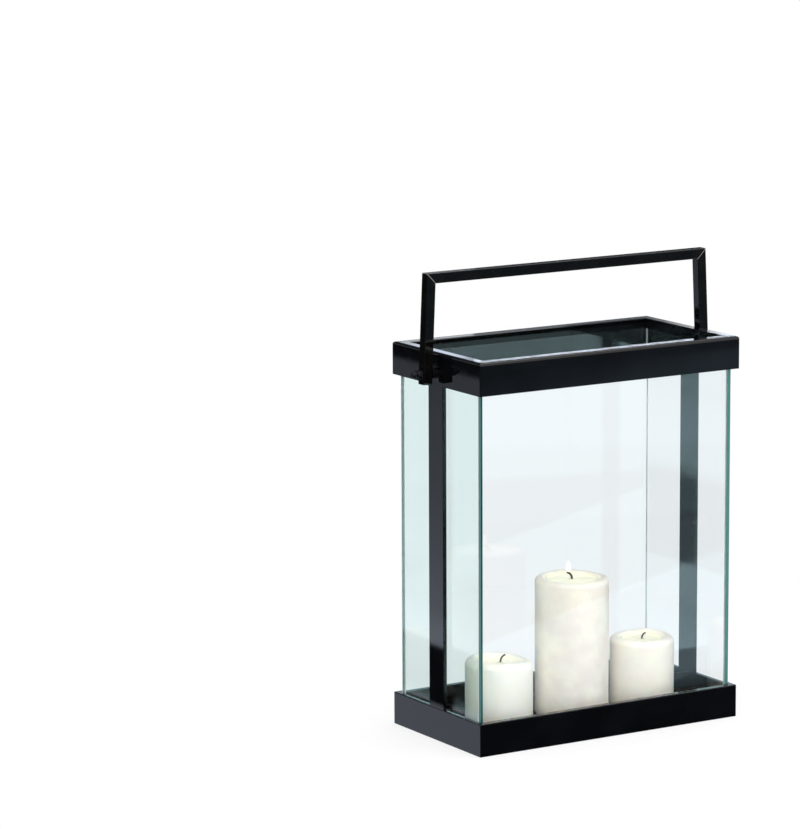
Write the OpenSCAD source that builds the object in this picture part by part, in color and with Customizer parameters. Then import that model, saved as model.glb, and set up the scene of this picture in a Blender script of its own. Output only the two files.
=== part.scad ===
// Hurricane candle lantern: a black steel tray and rim joined by two flat
// struts, four standing glass panes, a mitred bail handle that swings on
// two pivot bolts, and three pillar candles standing on the tray.
// Frame: origin at the centre of the underside, +X along the long side,
// +Y to the back, +Z up. Millimetres.

/* [Lantern body] */
// Outer length of tray and rim along X
body_w = 300; // [250:1:380]
// Outer depth of tray and rim along Y
body_d = 158; // [130:1:200]
// Height of the rim's top face above the ground
rim_top = 381; // [300:1:480]
// Thickness of the folded sheet of tray and rim
sheet_t = 2; // [1.5:0.1:2.4]

/* [Tray] */
// Height of the tray's outer wall
tray_h = 32; // [26:1:44]
// Width of the tray's land outside the left and right panes
land_w = 5; // [4.8:0.1:9]
// Width of the tray's land outside the front and back panes
land_d = 7; // [4.8:0.1:9]
// Depth of the well below the land
well_depth = 22; // [12:0.5:28]
// Rounding of the fold round the tray's top
tray_edge_r = 0.8; // [0.4:0.1:1.6]
// Rounding of the tray's upright corners
tray_corner_r = 0.5; // [0.3:0.1:1.5]
// Thickness of the plate that closes the underside
bottom_t = 1.5; // [1:0.1:3]

/* [Rim] */
// Height of the rim band
rim_h = 32; // [26:1:44]
// Width of the rim's top face on the left and right, outer face to mouth
rim_top_w = 12; // [11:0.1:18]
// Width of the rim's top face at the front and back
rim_top_d = 13; // [11:0.1:18]
// Drop of the inner lip below the top face, lip sheet included
lip_drop = 10; // [6:0.5:14]
// Rounding of the fold round the rim's top
rim_edge_r = 3; // [1.6:0.1:4]
// Rounding of the rim's upright corners
rim_corner_r = 0.6; // [0.3:0.1:1.8]
// Chamfer round the mouth
mouth_chamfer = 0.8; // [0.3:0.1:1.2]

/* [Glass] */
// Thickness of the glass panes
glass_t = 4; // [3:0.5:5]
// Arris ground on the long edges of the panes
glass_arris = 0.4; // [0.2:0.1:0.8]
// Clearance between the glass and the steel beside and above it
glass_clear = 0.3; // [0.1:0.1:0.8]

/* [Struts] */
// Width of the flat strut in the middle of each short side
strut_w = 26; // [18:1:40]
// Thickness of the strut
strut_t = 4; // [3.4:0.1:4.6]
// Chamfer on the long edges of the strut
strut_edge = 0.3; // [0.2:0.1:0.8]
// Distance of the strut's top end below the rim's top face
strut_top_gap = 8; // [6:0.5:10]
// Clearance of the strut in the rim's notch, each side
notch_clear = 0.15; // [0.05:0.05:0.5]

/* [Handle] */
// Side of the square handle bar
bar_t = 10; // [8:0.5:13]
// Rounding of the bar's long edges
bar_edge_r = 0.8; // [0.4:0.1:1.5]
// Outward splay of the legs in degrees
leg_splay = 2.5; // [0:0.1:3]
// Gap between the rim and a leg at the pivot
leg_gap = 6; // [6:0.1:9]
// Gap between the lowered bar and the front of the rim
swing_gap = 8; // [3:0.5:30]
// Length of a leg below the pivot axis
leg_tail = 10; // [8:0.5:12]
// Height of the pivot axis below the rim's top face
pivot_drop = 20; // [16:0.5:23]

/* [Pivots] */
// Diameter of the pivot bolts
bolt_d = 5; // [4:0.5:6]
// Radial running clearance of a leg on its bolt
bore_clear = 0.07; // [0.03:0.01:0.1]
// Side clearance between a leg and the parts on either side of it
run_clear = 0.35; // [0.3:0.05:0.6]
// Diameter of the spacers between rim and legs
spacer_d = 10.5; // [9:0.5:13]
// Diameter of the washers under the cap nuts
washer_d = 10; // [8.5:0.5:13]
// Thickness of the washers
washer_t = 1; // [0.6:0.1:1.6]
// Width across the flats of the cap nuts
nut_af = 8; // [7.5:0.5:11]
// Height of the hexagon of the cap nuts
nut_hex_h = 4.2; // [3:0.1:6]
// Diameter of the turned bearing face of the cap nuts
nut_face_d = 9; // [8:0.1:12]
// Length of the cap nuts, hexagon and dome
nut_l = 9.6; // [8:0.1:13]
// Length of the cap nuts' closed end beyond the bolt
nut_end_l = 2.9; // [2:0.1:3.6]
// Diameter of the cap nuts' dome
nut_dome_d = 7; // [6.4:0.1:7.4]
// Depth of the flat countersunk bolt head
head_h = 2.2; // [1.6:0.1:2.6]
// Straight edge of the bolt head
head_edge = 0.3; // [0.1:0.1:0.6]
// Depth of the bolt head's socket
socket_h = 1.8; // [1:0.1:2.4]
// Width across the flats of the bolt head's socket
socket_af = 2.6; // [2:0.1:3]

/* [Candles] */
// Diameter of the middle candle
candle_mid_d = 73; // [50:1:80]
// Height of the middle candle
candle_mid_h = 136.5; // [60:0.5:180]
// Position of the middle candle along X
candle_mid_x = 2; // [-6:0.5:8]
// Position of the middle candle along Y
candle_mid_y = -6; // [-20:0.5:20]
// Diameter of the left and right candles
candle_side_d = 64; // [40:1:66]
// Height of the left candle
candle_left_h = 64; // [40:0.5:160]
// Height of the right candle
candle_right_h = 69.5; // [40:0.5:160]
// Position of the left candle along Y
candle_left_y = 0; // [-24:0.5:24]
// Position of the right candle along Y
candle_right_y = -12; // [-24:0.5:24]
// Gap between neighbouring candles along X
candle_gap = 11; // [3:0.5:18]
// Radius of the worn shoulder of the middle candle
shoulder_mid_r = 6; // [3:0.5:9]
// Radius of the worn shoulder of the side candles
shoulder_side_r = 8; // [3:0.5:11]
// Depth of the melt pool in the candles
pool_depth = 4; // [1.5:0.5:6]
// Width of the crest between shoulder and melt pool
crest_w = 3; // [1:0.5:6]
// Chamfer round the candles' foot
foot_edge = 1; // [0.5:0.1:3]
// Diameter of the wicks
wick_d = 1.8; // [1.4:0.1:2.6]
// Length of wick above the pool
wick_rise = 9; // [6:0.5:12]
// Length of wick set in the wax
wick_set = 12; // [6:1:20]
// Angle in degrees through which the wicks curl over
wick_curl = 55; // [30:1:80]

/* [Hidden] */
eps = 0.02;
// How far cuts run past the face they open
cut = 1;
fine = 48;
candle_fn = 96;
// Clearance of bolts in plain holes, and room at a bolt's end
fit = 0.05;
end_room = 0.3;
// Narrowest gap that is left open between the two walls of the tray
wall_gap = 0.4;
hw = body_w / 2;
hd = body_d / 2;
// Glass outer faces, inner faces and height span
glass_x = hw - land_w;
glass_y = hd - land_d;
floor_z = tray_h - well_depth;
glass_top = rim_top - sheet_t - glass_clear;
glass_h = glass_top - floor_z;
// Tray well, measured to its wall
well_x = glass_x + glass_clear;
well_y = glass_y + glass_clear;
// Rim
rim_low = rim_top - rim_h;
mouth_x = hw - rim_top_w;
mouth_y = hd - rim_top_d;
lip_x = mouth_x + min(sheet_t, rim_top_w - land_w - glass_t - glass_clear);
lip_y = mouth_y + min(sheet_t, rim_top_d - land_d - glass_t - glass_clear);
// Struts
strut_top = rim_top - strut_top_gap;
strut_h = strut_top - tray_h;
// Handle, in the XZ plane through the pivot axis
pivot_z = rim_top - pivot_drop;
bar_low = hd + swing_gap;
bar_top = bar_low + bar_t;
leg_in = hw + leg_gap;
leg_out = leg_in + bar_t / cos(leg_splay);
bar_half = leg_out - bar_top * tan(leg_splay);
mitre = (90 + leg_splay) / 2;
// Pivot stack, measured outwards along X from the centre plane
tilt_in = spacer_d / 2 * tan(leg_splay);
tilt_out = washer_d / 2 * tan(leg_splay);
spacer_l = leg_gap - run_clear - tilt_in;
washer_x = leg_out + run_clear + tilt_out;
nut_x = washer_x + washer_t;
nut_end = nut_x + nut_l;
bolt_end = nut_end - nut_end_l;
strut_in = hw - strut_t;
cone_h = head_h - head_edge;
head_d = bolt_d + 2 * cone_h;
// Candles
candle_pitch = (candle_mid_d + candle_side_d) / 2 + candle_gap;
candle_left_x = candle_mid_x - candle_pitch;
candle_right_x = candle_mid_x + candle_pitch;

c_steel = "#141416";
c_glass = "#9cc4c2";
c_fastener = "#26262a";
c_wax = "#f1ecdc";
c_wick = "#1c1814";

// Box centred on the Z axis from z0 up by h
module slab(w, d, h, z0 = 0) {
  translate([-w / 2, -d / 2, z0]) cube([w, d, h]);
}

// Rectangle standing on the X axis with its two upper corners rounded
module arch(w, h, r) {
  translate([-w / 2, 0]) square([w, h - r]);
  translate([-w / 2 + r, 0]) square([w - 2 * r, h]);
  for (s = [-1, 1]) translate([s * (w / 2 - r), h - r]) circle(r = r, $fn = fine);
}

// Box folded from sheet: rounded folds round the top that meet in mitres,
// upright corners ground to a small radius, flat underneath
module folded_box(w, d, h, fold_r, corner_r) {
  intersection() {
    translate([0, d / 2, 0]) rotate([90, 0, 0]) linear_extrude(height = d) arch(w, h, fold_r);
    translate([-w / 2, 0, 0]) rotate([90, 0, 90]) linear_extrude(height = w) arch(d, h, fold_r);
    union() {
      slab(w - 2 * corner_r, d, h);
      slab(w, d - 2 * corner_r, h);
      for (sx = [-1, 1], sy = [-1, 1]) translate([sx * (w / 2 - corner_r), sy * (d / 2 - corner_r), 0])
        cylinder(r = corner_r, h = h, $fn = fine);
    }
  }
}

// Rectangle with its corners cut at 45 degrees, centred
module cut_rect(a, b, c) {
  polygon([[-a / 2 + c, -b / 2], [a / 2 - c, -b / 2], [a / 2, -b / 2 + c], [a / 2, b / 2 - c],
           [a / 2 - c, b / 2], [-a / 2 + c, b / 2], [-a / 2, b / 2 - c], [-a / 2, -b / 2 + c]]);
}

// Square bar section with rounded corners, centred
module bar_section() {
  square([bar_t, bar_t - 2 * bar_edge_r], center = true);
  square([bar_t - 2 * bar_edge_r, bar_t], center = true);
  for (sx = [-1, 1], sy = [-1, 1]) translate([sx, sy] * (bar_t / 2 - bar_edge_r))
    circle(r = bar_edge_r, $fn = fine);
}

module base_tray() color(c_steel) difference() {
  folded_box(body_w, body_d, tray_h, tray_edge_r, tray_corner_r);
  // well for glass and candles
  slab(2 * well_x, 2 * well_y, well_depth + cut, floor_z);
  // hollow under the floor
  slab(2 * (well_x + sheet_t), 2 * (well_y + sheet_t), floor_z - sheet_t + eps, -eps);
  // gap between outer wall and well wall
  if (min(land_w, land_d) - glass_clear - 2 * sheet_t > wall_gap) difference() {
    slab(body_w - 2 * sheet_t, body_d - 2 * sheet_t, tray_h - sheet_t + eps, -eps);
    slab(2 * (well_x + sheet_t), 2 * (well_y + sheet_t), tray_h, -2 * eps);
  }
  // seat of the bottom plate
  slab(body_w - 2 * sheet_t, body_d - 2 * sheet_t, bottom_t + eps, -eps);
}

module base_bottom() color(c_steel)
  slab(body_w - 2 * sheet_t, body_d - 2 * sheet_t, bottom_t);

// Each pane covers the end of one neighbour and butts against the other, so
// that all four are alike at their corners
module long_pane(side) color(c_glass)
  translate([side * glass_t / 2, side * (glass_y - glass_t / 2), floor_z])
    linear_extrude(height = glass_h) cut_rect(2 * glass_x - glass_t, glass_t, glass_arris);

module short_pane(side) color(c_glass)
  translate([side * (glass_x - glass_t / 2), -side * glass_t / 2, floor_z])
    linear_extrude(height = glass_h) cut_rect(glass_t, 2 * glass_y - glass_t, glass_arris);

module glass_front() long_pane(-1);
module glass_back() long_pane(1);
module glass_left() short_pane(-1);
module glass_right() short_pane(1);

// Flat strut on the tray's land, let into the rim, with the bolt's countersink
module strut(side) color(c_steel) difference() {
  translate([side * (hw - strut_t / 2), 0, tray_h])
    linear_extrude(height = strut_h) cut_rect(strut_t, strut_w, strut_edge);
  translate([side * strut_in, 0, pivot_z]) rotate([0, side * 90, 0]) {
    translate([0, 0, -cut]) cylinder(d = bolt_d + 2 * fit, h = strut_t + 2 * cut, $fn = fine);
    translate([0, 0, -eps]) cylinder(d = head_d + 2 * fit, h = head_edge + eps, $fn = fine);
    translate([0, 0, head_edge - eps])
      cylinder(d1 = head_d + 2 * fit, d2 = bolt_d + 2 * fit, h = cone_h, $fn = fine);
  }
}

module strut_left() strut(-1);
module strut_right() strut(1);

// Rim: outer band, top face and inner lip that holds the panes
module top_frame() color(c_steel) translate([0, 0, rim_low]) difference() {
  folded_box(body_w, body_d, rim_h, rim_edge_r, rim_corner_r);
  // inside below the lip
  slab(body_w - 2 * sheet_t, body_d - 2 * sheet_t, rim_h - lip_drop + eps, -eps);
  // channel between band and lip, for the tops of the panes
  difference() {
    slab(body_w - 2 * sheet_t, body_d - 2 * sheet_t, rim_h - sheet_t, 0);
    slab(2 * lip_x, 2 * lip_y, rim_h, 0);
  }
  // mouth
  slab(2 * mouth_x, 2 * mouth_y, rim_h + cut, 0);
  hull() {
    slab(2 * mouth_x, 2 * mouth_y, eps, rim_h - mouth_chamfer);
    slab(2 * (mouth_x + mouth_chamfer), 2 * (mouth_y + mouth_chamfer), eps, rim_h);
  }
  // notches for the struts
  for (s = [-1, 1]) translate([s * (hw - sheet_t / 2), 0, 0])
    slab(sheet_t + 2 * eps, strut_w + 2 * notch_clear, strut_top - rim_low + eps, -eps);
}

// A pivot part drawn along +Z from the centre plane, turned to each side
module both_sides() {
  for (s = [-1, 1]) translate([0, 0, pivot_z]) rotate([0, s * 90, 0]) children();
}

module pivot_bolts() color(c_fastener) both_sides() difference() {
  union() {
    translate([0, 0, strut_in + head_h - eps])
      cylinder(d = bolt_d, h = bolt_end - strut_in - head_h + eps, $fn = fine);
    translate([0, 0, strut_in]) cylinder(d = head_d, h = head_edge, $fn = fine);
    translate([0, 0, strut_in + head_edge - eps / 2])
      cylinder(d1 = head_d, d2 = bolt_d, h = cone_h, $fn = fine);
  }
  translate([0, 0, strut_in - eps]) cylinder(d = socket_af / cos(30), h = socket_h, $fn = 6);
}

module pivot_spacers() color(c_fastener) both_sides() translate([0, 0, hw]) difference() {
  cylinder(d = spacer_d, h = spacer_l, $fn = fine);
  translate([0, 0, -cut]) cylinder(d = bolt_d + 2 * fit, h = spacer_l + 2 * cut, $fn = fine);
}

module pivot_washers() color(c_fastener) both_sides() translate([0, 0, washer_x]) difference() {
  cylinder(d = washer_d, h = washer_t, $fn = fine);
  translate([0, 0, -cut]) cylinder(d = bolt_d + 2 * fit, h = washer_t + 2 * cut, $fn = fine);
}

module cap_nuts() color(c_fastener) both_sides() translate([0, 0, nut_x]) difference() {
  union() {
    intersection() {
      rotate([0, 0, 30]) cylinder(d = nut_af / cos(30), h = nut_hex_h, $fn = 6);
      // turned corners of the hexagon
      cylinder(d1 = nut_face_d, d2 = nut_face_d + 2 * nut_hex_h, h = nut_hex_h, $fn = fine);
    }
    cylinder(d = nut_dome_d, h = nut_l - nut_dome_d / 2, $fn = fine);
    translate([0, 0, nut_l - nut_dome_d / 2]) sphere(d = nut_dome_d, $fn = fine);
  }
  translate([0, 0, -eps]) cylinder(d = bolt_d + 2 * fit, h = bolt_end - nut_x + end_room, $fn = fine);
}

// Block on one side of the mitre at the bar's end on side s: above it, or below it
module mitre_cut(s, above) {
  translate([s * bar_half, 0, bar_top]) rotate([0, -s * mitre, 0])
    translate([-3 * bar_t, -bar_t, above ? 0 : -3 * bar_t]) cube([6 * bar_t, 2 * bar_t, 3 * bar_t]);
}

module handle_bar() color(c_steel) translate([0, 0, pivot_z]) difference() {
  translate([-bar_half, 0, bar_top - bar_t / 2]) rotate([0, 90, 0])
    linear_extrude(height = 2 * bar_half) bar_section();
  for (s = [-1, 1]) mitre_cut(s, false);
}

module handle_leg(s) color(c_steel) translate([0, 0, pivot_z]) difference() {
  // axis of the leg passes through the middle of the pivot bore
  translate([s * (leg_in + leg_out) / 2, 0, 0]) rotate([0, -s * leg_splay, 0])
    translate([0, 0, -leg_tail]) linear_extrude(height = leg_tail + bar_top + bar_t) bar_section();
  mitre_cut(s, true);
  translate([s * (leg_in - bar_t), 0, 0]) rotate([0, s * 90, 0])
    cylinder(d = bolt_d + 2 * bore_clear, h = 4 * bar_t, $fn = fine);
}

module handle_leg_left() handle_leg(-1);
module handle_leg_right() handle_leg(1);

// Pillar candle with a worn shoulder, a shallow melt pool and a hole for the wick
module candle(d, h, r_sh) color(c_wax) {
  r = d / 2;
  land_r = r - r_sh;
  pool_r = land_r - crest_w;
  dish_r = (pool_r * pool_r + pool_depth * pool_depth) / (2 * pool_depth);
  difference() {
    rotate_extrude($fn = candle_fn) {
      polygon([[0, 0], [r - foot_edge, 0], [r, foot_edge], [r, h - r_sh], [0, h - r_sh]]);
      translate([0, h - r_sh - eps]) square([land_r, r_sh + eps]);
      translate([land_r, h - r_sh]) circle(r = r_sh, $fn = candle_fn);
    }
    translate([0, 0, h - pool_depth + dish_r]) sphere(r = dish_r, $fn = candle_fn);
    translate([0, 0, h - pool_depth - wick_set]) cylinder(d = wick_d, h = wick_set + pool_depth, $fn = fine);
  }
}

// Wick set in the wax, curling over towards the angle turn above the pool
module wick(h, turn) color(c_wick) translate([0, 0, h - pool_depth]) rotate([0, 0, turn + 180]) {
  translate([0, 0, -wick_set]) cylinder(d = wick_d, h = wick_set, $fn = fine);
  translate([-wick_rise, 0, 0]) rotate([90, 0, 0])
    rotate_extrude(angle = wick_curl, $fn = candle_fn)
      translate([wick_rise, 0]) circle(d = wick_d, $fn = fine);
}

// Place of each candle on the tray's floor
module at_middle() translate([candle_mid_x, candle_mid_y, floor_z]) children();
module at_left() translate([candle_left_x, candle_left_y, floor_z]) children();
module at_right() translate([candle_right_x, candle_right_y, floor_z]) children();

module candle_middle() at_middle() candle(candle_mid_d, candle_mid_h, shoulder_mid_r);
module wick_middle() at_middle() wick(candle_mid_h, 180);
module candle_left() at_left() candle(candle_side_d, candle_left_h, shoulder_side_r);
module wick_left() at_left() wick(candle_left_h, 0);
module candle_right() at_right() candle(candle_side_d, candle_right_h, shoulder_side_r);
module wick_right() at_right() wick(candle_right_h, 0);

base_tray();
base_bottom();
glass_front();
glass_back();
glass_left();
glass_right();
strut_left();
strut_right();
top_frame();
pivot_bolts();
pivot_spacers();
pivot_washers();
cap_nuts();
handle_bar();
handle_leg_left();
handle_leg_right();
candle_middle();
wick_middle();
candle_left();
wick_left();
candle_right();
wick_right();
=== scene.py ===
"""Hurricane candle lantern: gloss black tray and rim, float glass, bail handle, three pillar candles."""

import logging
import math
from dataclasses import dataclass
from enum import Enum
from typing import Any, Callable, Sequence

import bmesh
import bpy
from mathutils import Matrix, Vector, noise

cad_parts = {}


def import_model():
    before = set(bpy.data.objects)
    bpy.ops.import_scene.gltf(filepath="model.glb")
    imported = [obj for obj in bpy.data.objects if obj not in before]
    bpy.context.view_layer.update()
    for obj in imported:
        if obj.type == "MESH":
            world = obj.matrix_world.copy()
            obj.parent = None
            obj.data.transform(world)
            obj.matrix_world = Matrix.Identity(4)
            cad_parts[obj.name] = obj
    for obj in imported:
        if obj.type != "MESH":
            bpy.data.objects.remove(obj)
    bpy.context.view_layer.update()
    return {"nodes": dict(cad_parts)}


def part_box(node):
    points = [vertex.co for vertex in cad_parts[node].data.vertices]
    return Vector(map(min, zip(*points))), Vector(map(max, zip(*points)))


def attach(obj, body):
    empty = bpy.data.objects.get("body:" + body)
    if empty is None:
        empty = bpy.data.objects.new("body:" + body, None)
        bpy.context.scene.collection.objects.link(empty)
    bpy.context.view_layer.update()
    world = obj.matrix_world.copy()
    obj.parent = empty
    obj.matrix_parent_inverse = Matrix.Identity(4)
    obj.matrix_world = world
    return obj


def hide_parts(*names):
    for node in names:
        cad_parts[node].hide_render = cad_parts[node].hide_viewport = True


MM = 0.001
LOG = logging.getLogger("lantern")
Object = bpy.types.Object
Material = bpy.types.Material
Tree = bpy.types.NodeTree
Node = bpy.types.Node
Socket = bpy.types.NodeSocket
Pair = tuple[float, float]
Triple = tuple[float, float, float]
# From an angle in radians to a radius and a height in metres.
Ring = Callable[[float], Pair]
# Indices of refraction.
ENAMEL_IOR = 1.5
GLASS_IOR = 1.52
WAX_IOR = 1.44
# Parts a count or flag of 0 from one of 1 or more.
ANY = 0.5
# Cosines over which a face counts as square to an axis, or as turned toward it.
SQUARE = 0.9
TOWARD = 0.5


def linear(hex_colour: str) -> tuple[float, float, float, float]:
    """Turns an sRGB hex colour such as "#1a1a1c" into linear RGBA.

    Args:
        hex_colour: Six hex digits after a hash sign.

    Returns:
        Red, green and blue in linear light, and an alpha of 1.
    """
    channels = [int(hex_colour[i:i + 2], 16) / 255 for i in (1, 3, 5)]
    red, green, blue = [c / 12.92 if c <= 0.04045 else ((c + 0.055) / 1.055) ** 2.4 for c in channels]
    return (red, green, blue, 1.0)


WHITE = linear("#ffffff")


def add_node(tree: Tree, kind: str, settings: dict[str, Any] | None = None,
             links: dict[int | str, Any] | None = None) -> Node:
    """Adds a node, sets its properties and fills its inputs.

    Args:
        tree: The node tree that gets the node.
        kind: Blender's type name of the node.
        settings: Properties of the node, by name.
        links: Input socket, by name or number, to a value or to the output socket that feeds it.

    Returns:
        The new node.
    """
    node = tree.nodes.new(kind)
    for name, value in (settings or {}).items():
        setattr(node, name, value)
    for key, value in (links or {}).items():
        if isinstance(value, Socket):
            tree.links.new(value, node.inputs[key])
        else:
            node.inputs[key].default_value = value
    return node


def spots(tree: Tree, size_mm: float, detail: float = 3.0) -> Socket:
    """Noise on Object coordinates with blotches of a real size.

    Args:
        tree: The material's tree.
        size_mm: Rough size of one blotch in millimetres.
        detail: Octaves of finer noise.

    Returns:
        The noise's value socket, about 0.5 on average.
    """
    place = add_node(tree, "ShaderNodeTexCoord").outputs["Object"]
    return add_node(tree, "ShaderNodeTexNoise", {},
                    {"Vector": place, "Scale": 1.0 / (size_mm * MM), "Detail": detail}).outputs[0]


def blotches(tree: Tree, size_mm: float, detail: float, edges: Pair, values: Pair = (0.0, 1.0)) -> Socket:
    """Blotches of a real size, in two values with a soft change between them.

    Args:
        tree: The material's tree.
        size_mm: Rough size of one blotch in millimetres.
        detail: Octaves of finer noise.
        edges: Noise that gives the first value, and noise that gives the second.
        values: The two values.

    Returns:
        The pattern's socket.
    """
    return add_node(tree, "ShaderNodeMapRange", {},
                    {0: spots(tree, size_mm, detail), 1: edges[0], 2: edges[1],
                     3: values[0], 4: values[1]}).outputs[0]


def relief(tree: Tree, size_mm: float, detail: float, depth_mm: float) -> Socket:
    """Makes a surface uneven.

    Args:
        tree: The material's tree.
        size_mm: Rough width of one swelling.
        detail: Octaves of finer noise.
        depth_mm: Its height.

    Returns:
        The normal's socket.
    """
    return add_node(tree, "ShaderNodeBump", {},
                    {"Height": spots(tree, size_mm, detail), "Strength": 1.0,
                     "Distance": depth_mm * MM}).outputs[0]


def new_material(name: str) -> tuple[Material, Tree]:
    """Makes an empty node material.

    Args:
        name: The material's name.

    Returns:
        The material and its node tree.
    """
    material = bpy.data.materials.new(name)
    material.use_nodes = True
    material.node_tree.nodes.clear()
    return material, material.node_tree


def surfaced(material: Material, shader: Socket) -> Material:
    """Gives a material its surface shader, and returns the material."""
    add_node(material.node_tree, "ShaderNodeOutputMaterial", {}, {0: shader})
    return material


class PaneAxis(Enum):
    """The axis that a pane's large faces look along."""

    X = 0
    Y = 1


@dataclass(frozen=True)
class GlossEnamel:
    """Stoved gloss enamel on folded sheet steel.

    A mirror-like black with a faint orange peel, so reflections wave a little, and a trace of dust haze.
    """

    name: str = "stoved_gloss_enamel"
    colour: str = "#040405"
    haze: str = "#08090b"
    haze_mm: float = 45.0
    roughness: float = 0.025
    dust_mm: float = 9.0
    dust_roughness: float = 0.03
    peel_mm: float = 8.0
    peel_depth_mm: float = 0.002

    def build(self) -> Material:
        """Builds the enamel.

        Returns:
            The finished material.
        """
        material, tree = new_material(self.name)
        hazy = blotches(tree, self.haze_mm, 3.0, (0.4, 0.7))
        colour = add_node(tree, "ShaderNodeMix", {"data_type": "RGBA"},
                          {0: hazy, 6: linear(self.colour), 7: linear(self.haze)}).outputs[2]
        rough = blotches(tree, self.dust_mm, 5.0, (0.45, 0.8),
                         (self.roughness, self.roughness + self.dust_roughness))
        enamel = add_node(tree, "ShaderNodeBsdfPrincipled", {},
                          {"Base Color": colour, "Roughness": rough, "IOR": ENAMEL_IOR,
                           "Normal": relief(tree, self.peel_mm, 1.0, self.peel_depth_mm)}).outputs[0]
        return surfaced(material, enamel)


@dataclass(frozen=True)
class SatinEnamel:
    """Satin black enamel on drawn square bar: softer reflections than the sheet parts.

    A painted highlight runs along the ground seams of the two mitres: fine pale lines in the colour that
    stand in for the glint the seams catch. The corner is the right mitre's outer end, as x and z in metres.
    """

    corner: Pair
    splay: float
    name: str = "satin_black_enamel"
    # Colour of the painted seam highlight.
    seam_highlight: str = "#77726c"
    seam_mm: float = 0.45
    colour: str = "#050504"
    rub: str = "#0d0b0a"
    rub_mm: float = 14.0
    roughness: float = 0.03
    smear_mm: float = 3.0
    grain_mm: float = 1.2
    grain_depth_mm: float = 0.002

    def build(self) -> Material:
        """Builds the enamel.

        Returns:
            The finished material.
        """
        material, tree = new_material(self.name)
        rubbed = blotches(tree, self.rub_mm, 5.0, (0.45, 0.75))
        plain = add_node(tree, "ShaderNodeMix", {"data_type": "RGBA"},
                         {0: rubbed, 6: linear(self.colour), 7: linear(self.rub)}).outputs[2]
        turn = (math.pi / 2 + self.splay) / 2
        place = add_node(tree, "ShaderNodeTexCoord").outputs["Object"]
        folded = add_node(tree, "ShaderNodeVectorMath", {"operation": "ABSOLUTE"}, {0: place}).outputs[0]
        across = add_node(tree, "ShaderNodeVectorMath", {"operation": "DOT_PRODUCT"},
                          {0: folded, 1: (-math.sin(turn), 0.0, math.cos(turn))}).outputs["Value"]
        seam_at = -self.corner[0] * math.sin(turn) + self.corner[1] * math.cos(turn)
        beside = add_node(tree, "ShaderNodeMath", {"operation": "SUBTRACT"},
                          {0: across, 1: seam_at}).outputs[0]
        gap = add_node(tree, "ShaderNodeMath", {"operation": "ABSOLUTE"}, {0: beside}).outputs[0]
        # Painted highlight: a pale line along each mitre's seam.
        on_seam_highlight = add_node(tree, "ShaderNodeMapRange", {},
                           {0: gap, 1: self.seam_mm * MM, 2: 0.5 * self.seam_mm * MM}).outputs[0]
        colour = add_node(tree, "ShaderNodeMix", {"data_type": "RGBA"},
                          {0: on_seam_highlight, 6: plain, 7: linear(self.seam_highlight)}).outputs[2]
        rough = blotches(tree, self.smear_mm, 6.0, (0.35, 0.75),
                         (self.roughness - 0.01, self.roughness + 0.02))
        enamel = add_node(tree, "ShaderNodeBsdfPrincipled", {},
                          {"Base Color": colour, "Roughness": rough, "IOR": ENAMEL_IOR,
                           "Normal": relief(tree, self.grain_mm, 2.0, self.grain_depth_mm)}).outputs[0]
        return surfaced(material, enamel)


@dataclass(frozen=True)
class BlackOxide:
    """Black oxide on turned steel fasteners: dark metal with a dull oily shine."""

    name: str = "black_oxide_steel"
    shade: str = "#1a191b"
    colour: str = "#2c2b2e"
    cloud_mm: float = 2.0
    roughness: float = 0.28
    oil_mm: float = 0.8
    metal: float = 0.85

    def build(self) -> Material:
        """Builds the oxide finish.

        Returns:
            The finished material.
        """
        material, tree = new_material(self.name)
        colour = add_node(tree, "ShaderNodeMix", {"data_type": "RGBA"},
                          {0: spots(tree, self.cloud_mm, 4.0), 6: linear(self.shade),
                           7: linear(self.colour)}).outputs[2]
        rough = blotches(tree, self.oil_mm, 4.0, (0.3, 0.7), (self.roughness - 0.08, self.roughness + 0.1))
        oxide = add_node(tree, "ShaderNodeBsdfPrincipled", {},
                         {"Base Color": colour, "Roughness": rough, "Metallic": self.metal}).outputs[0]
        return surfaced(material, oxide)


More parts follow.
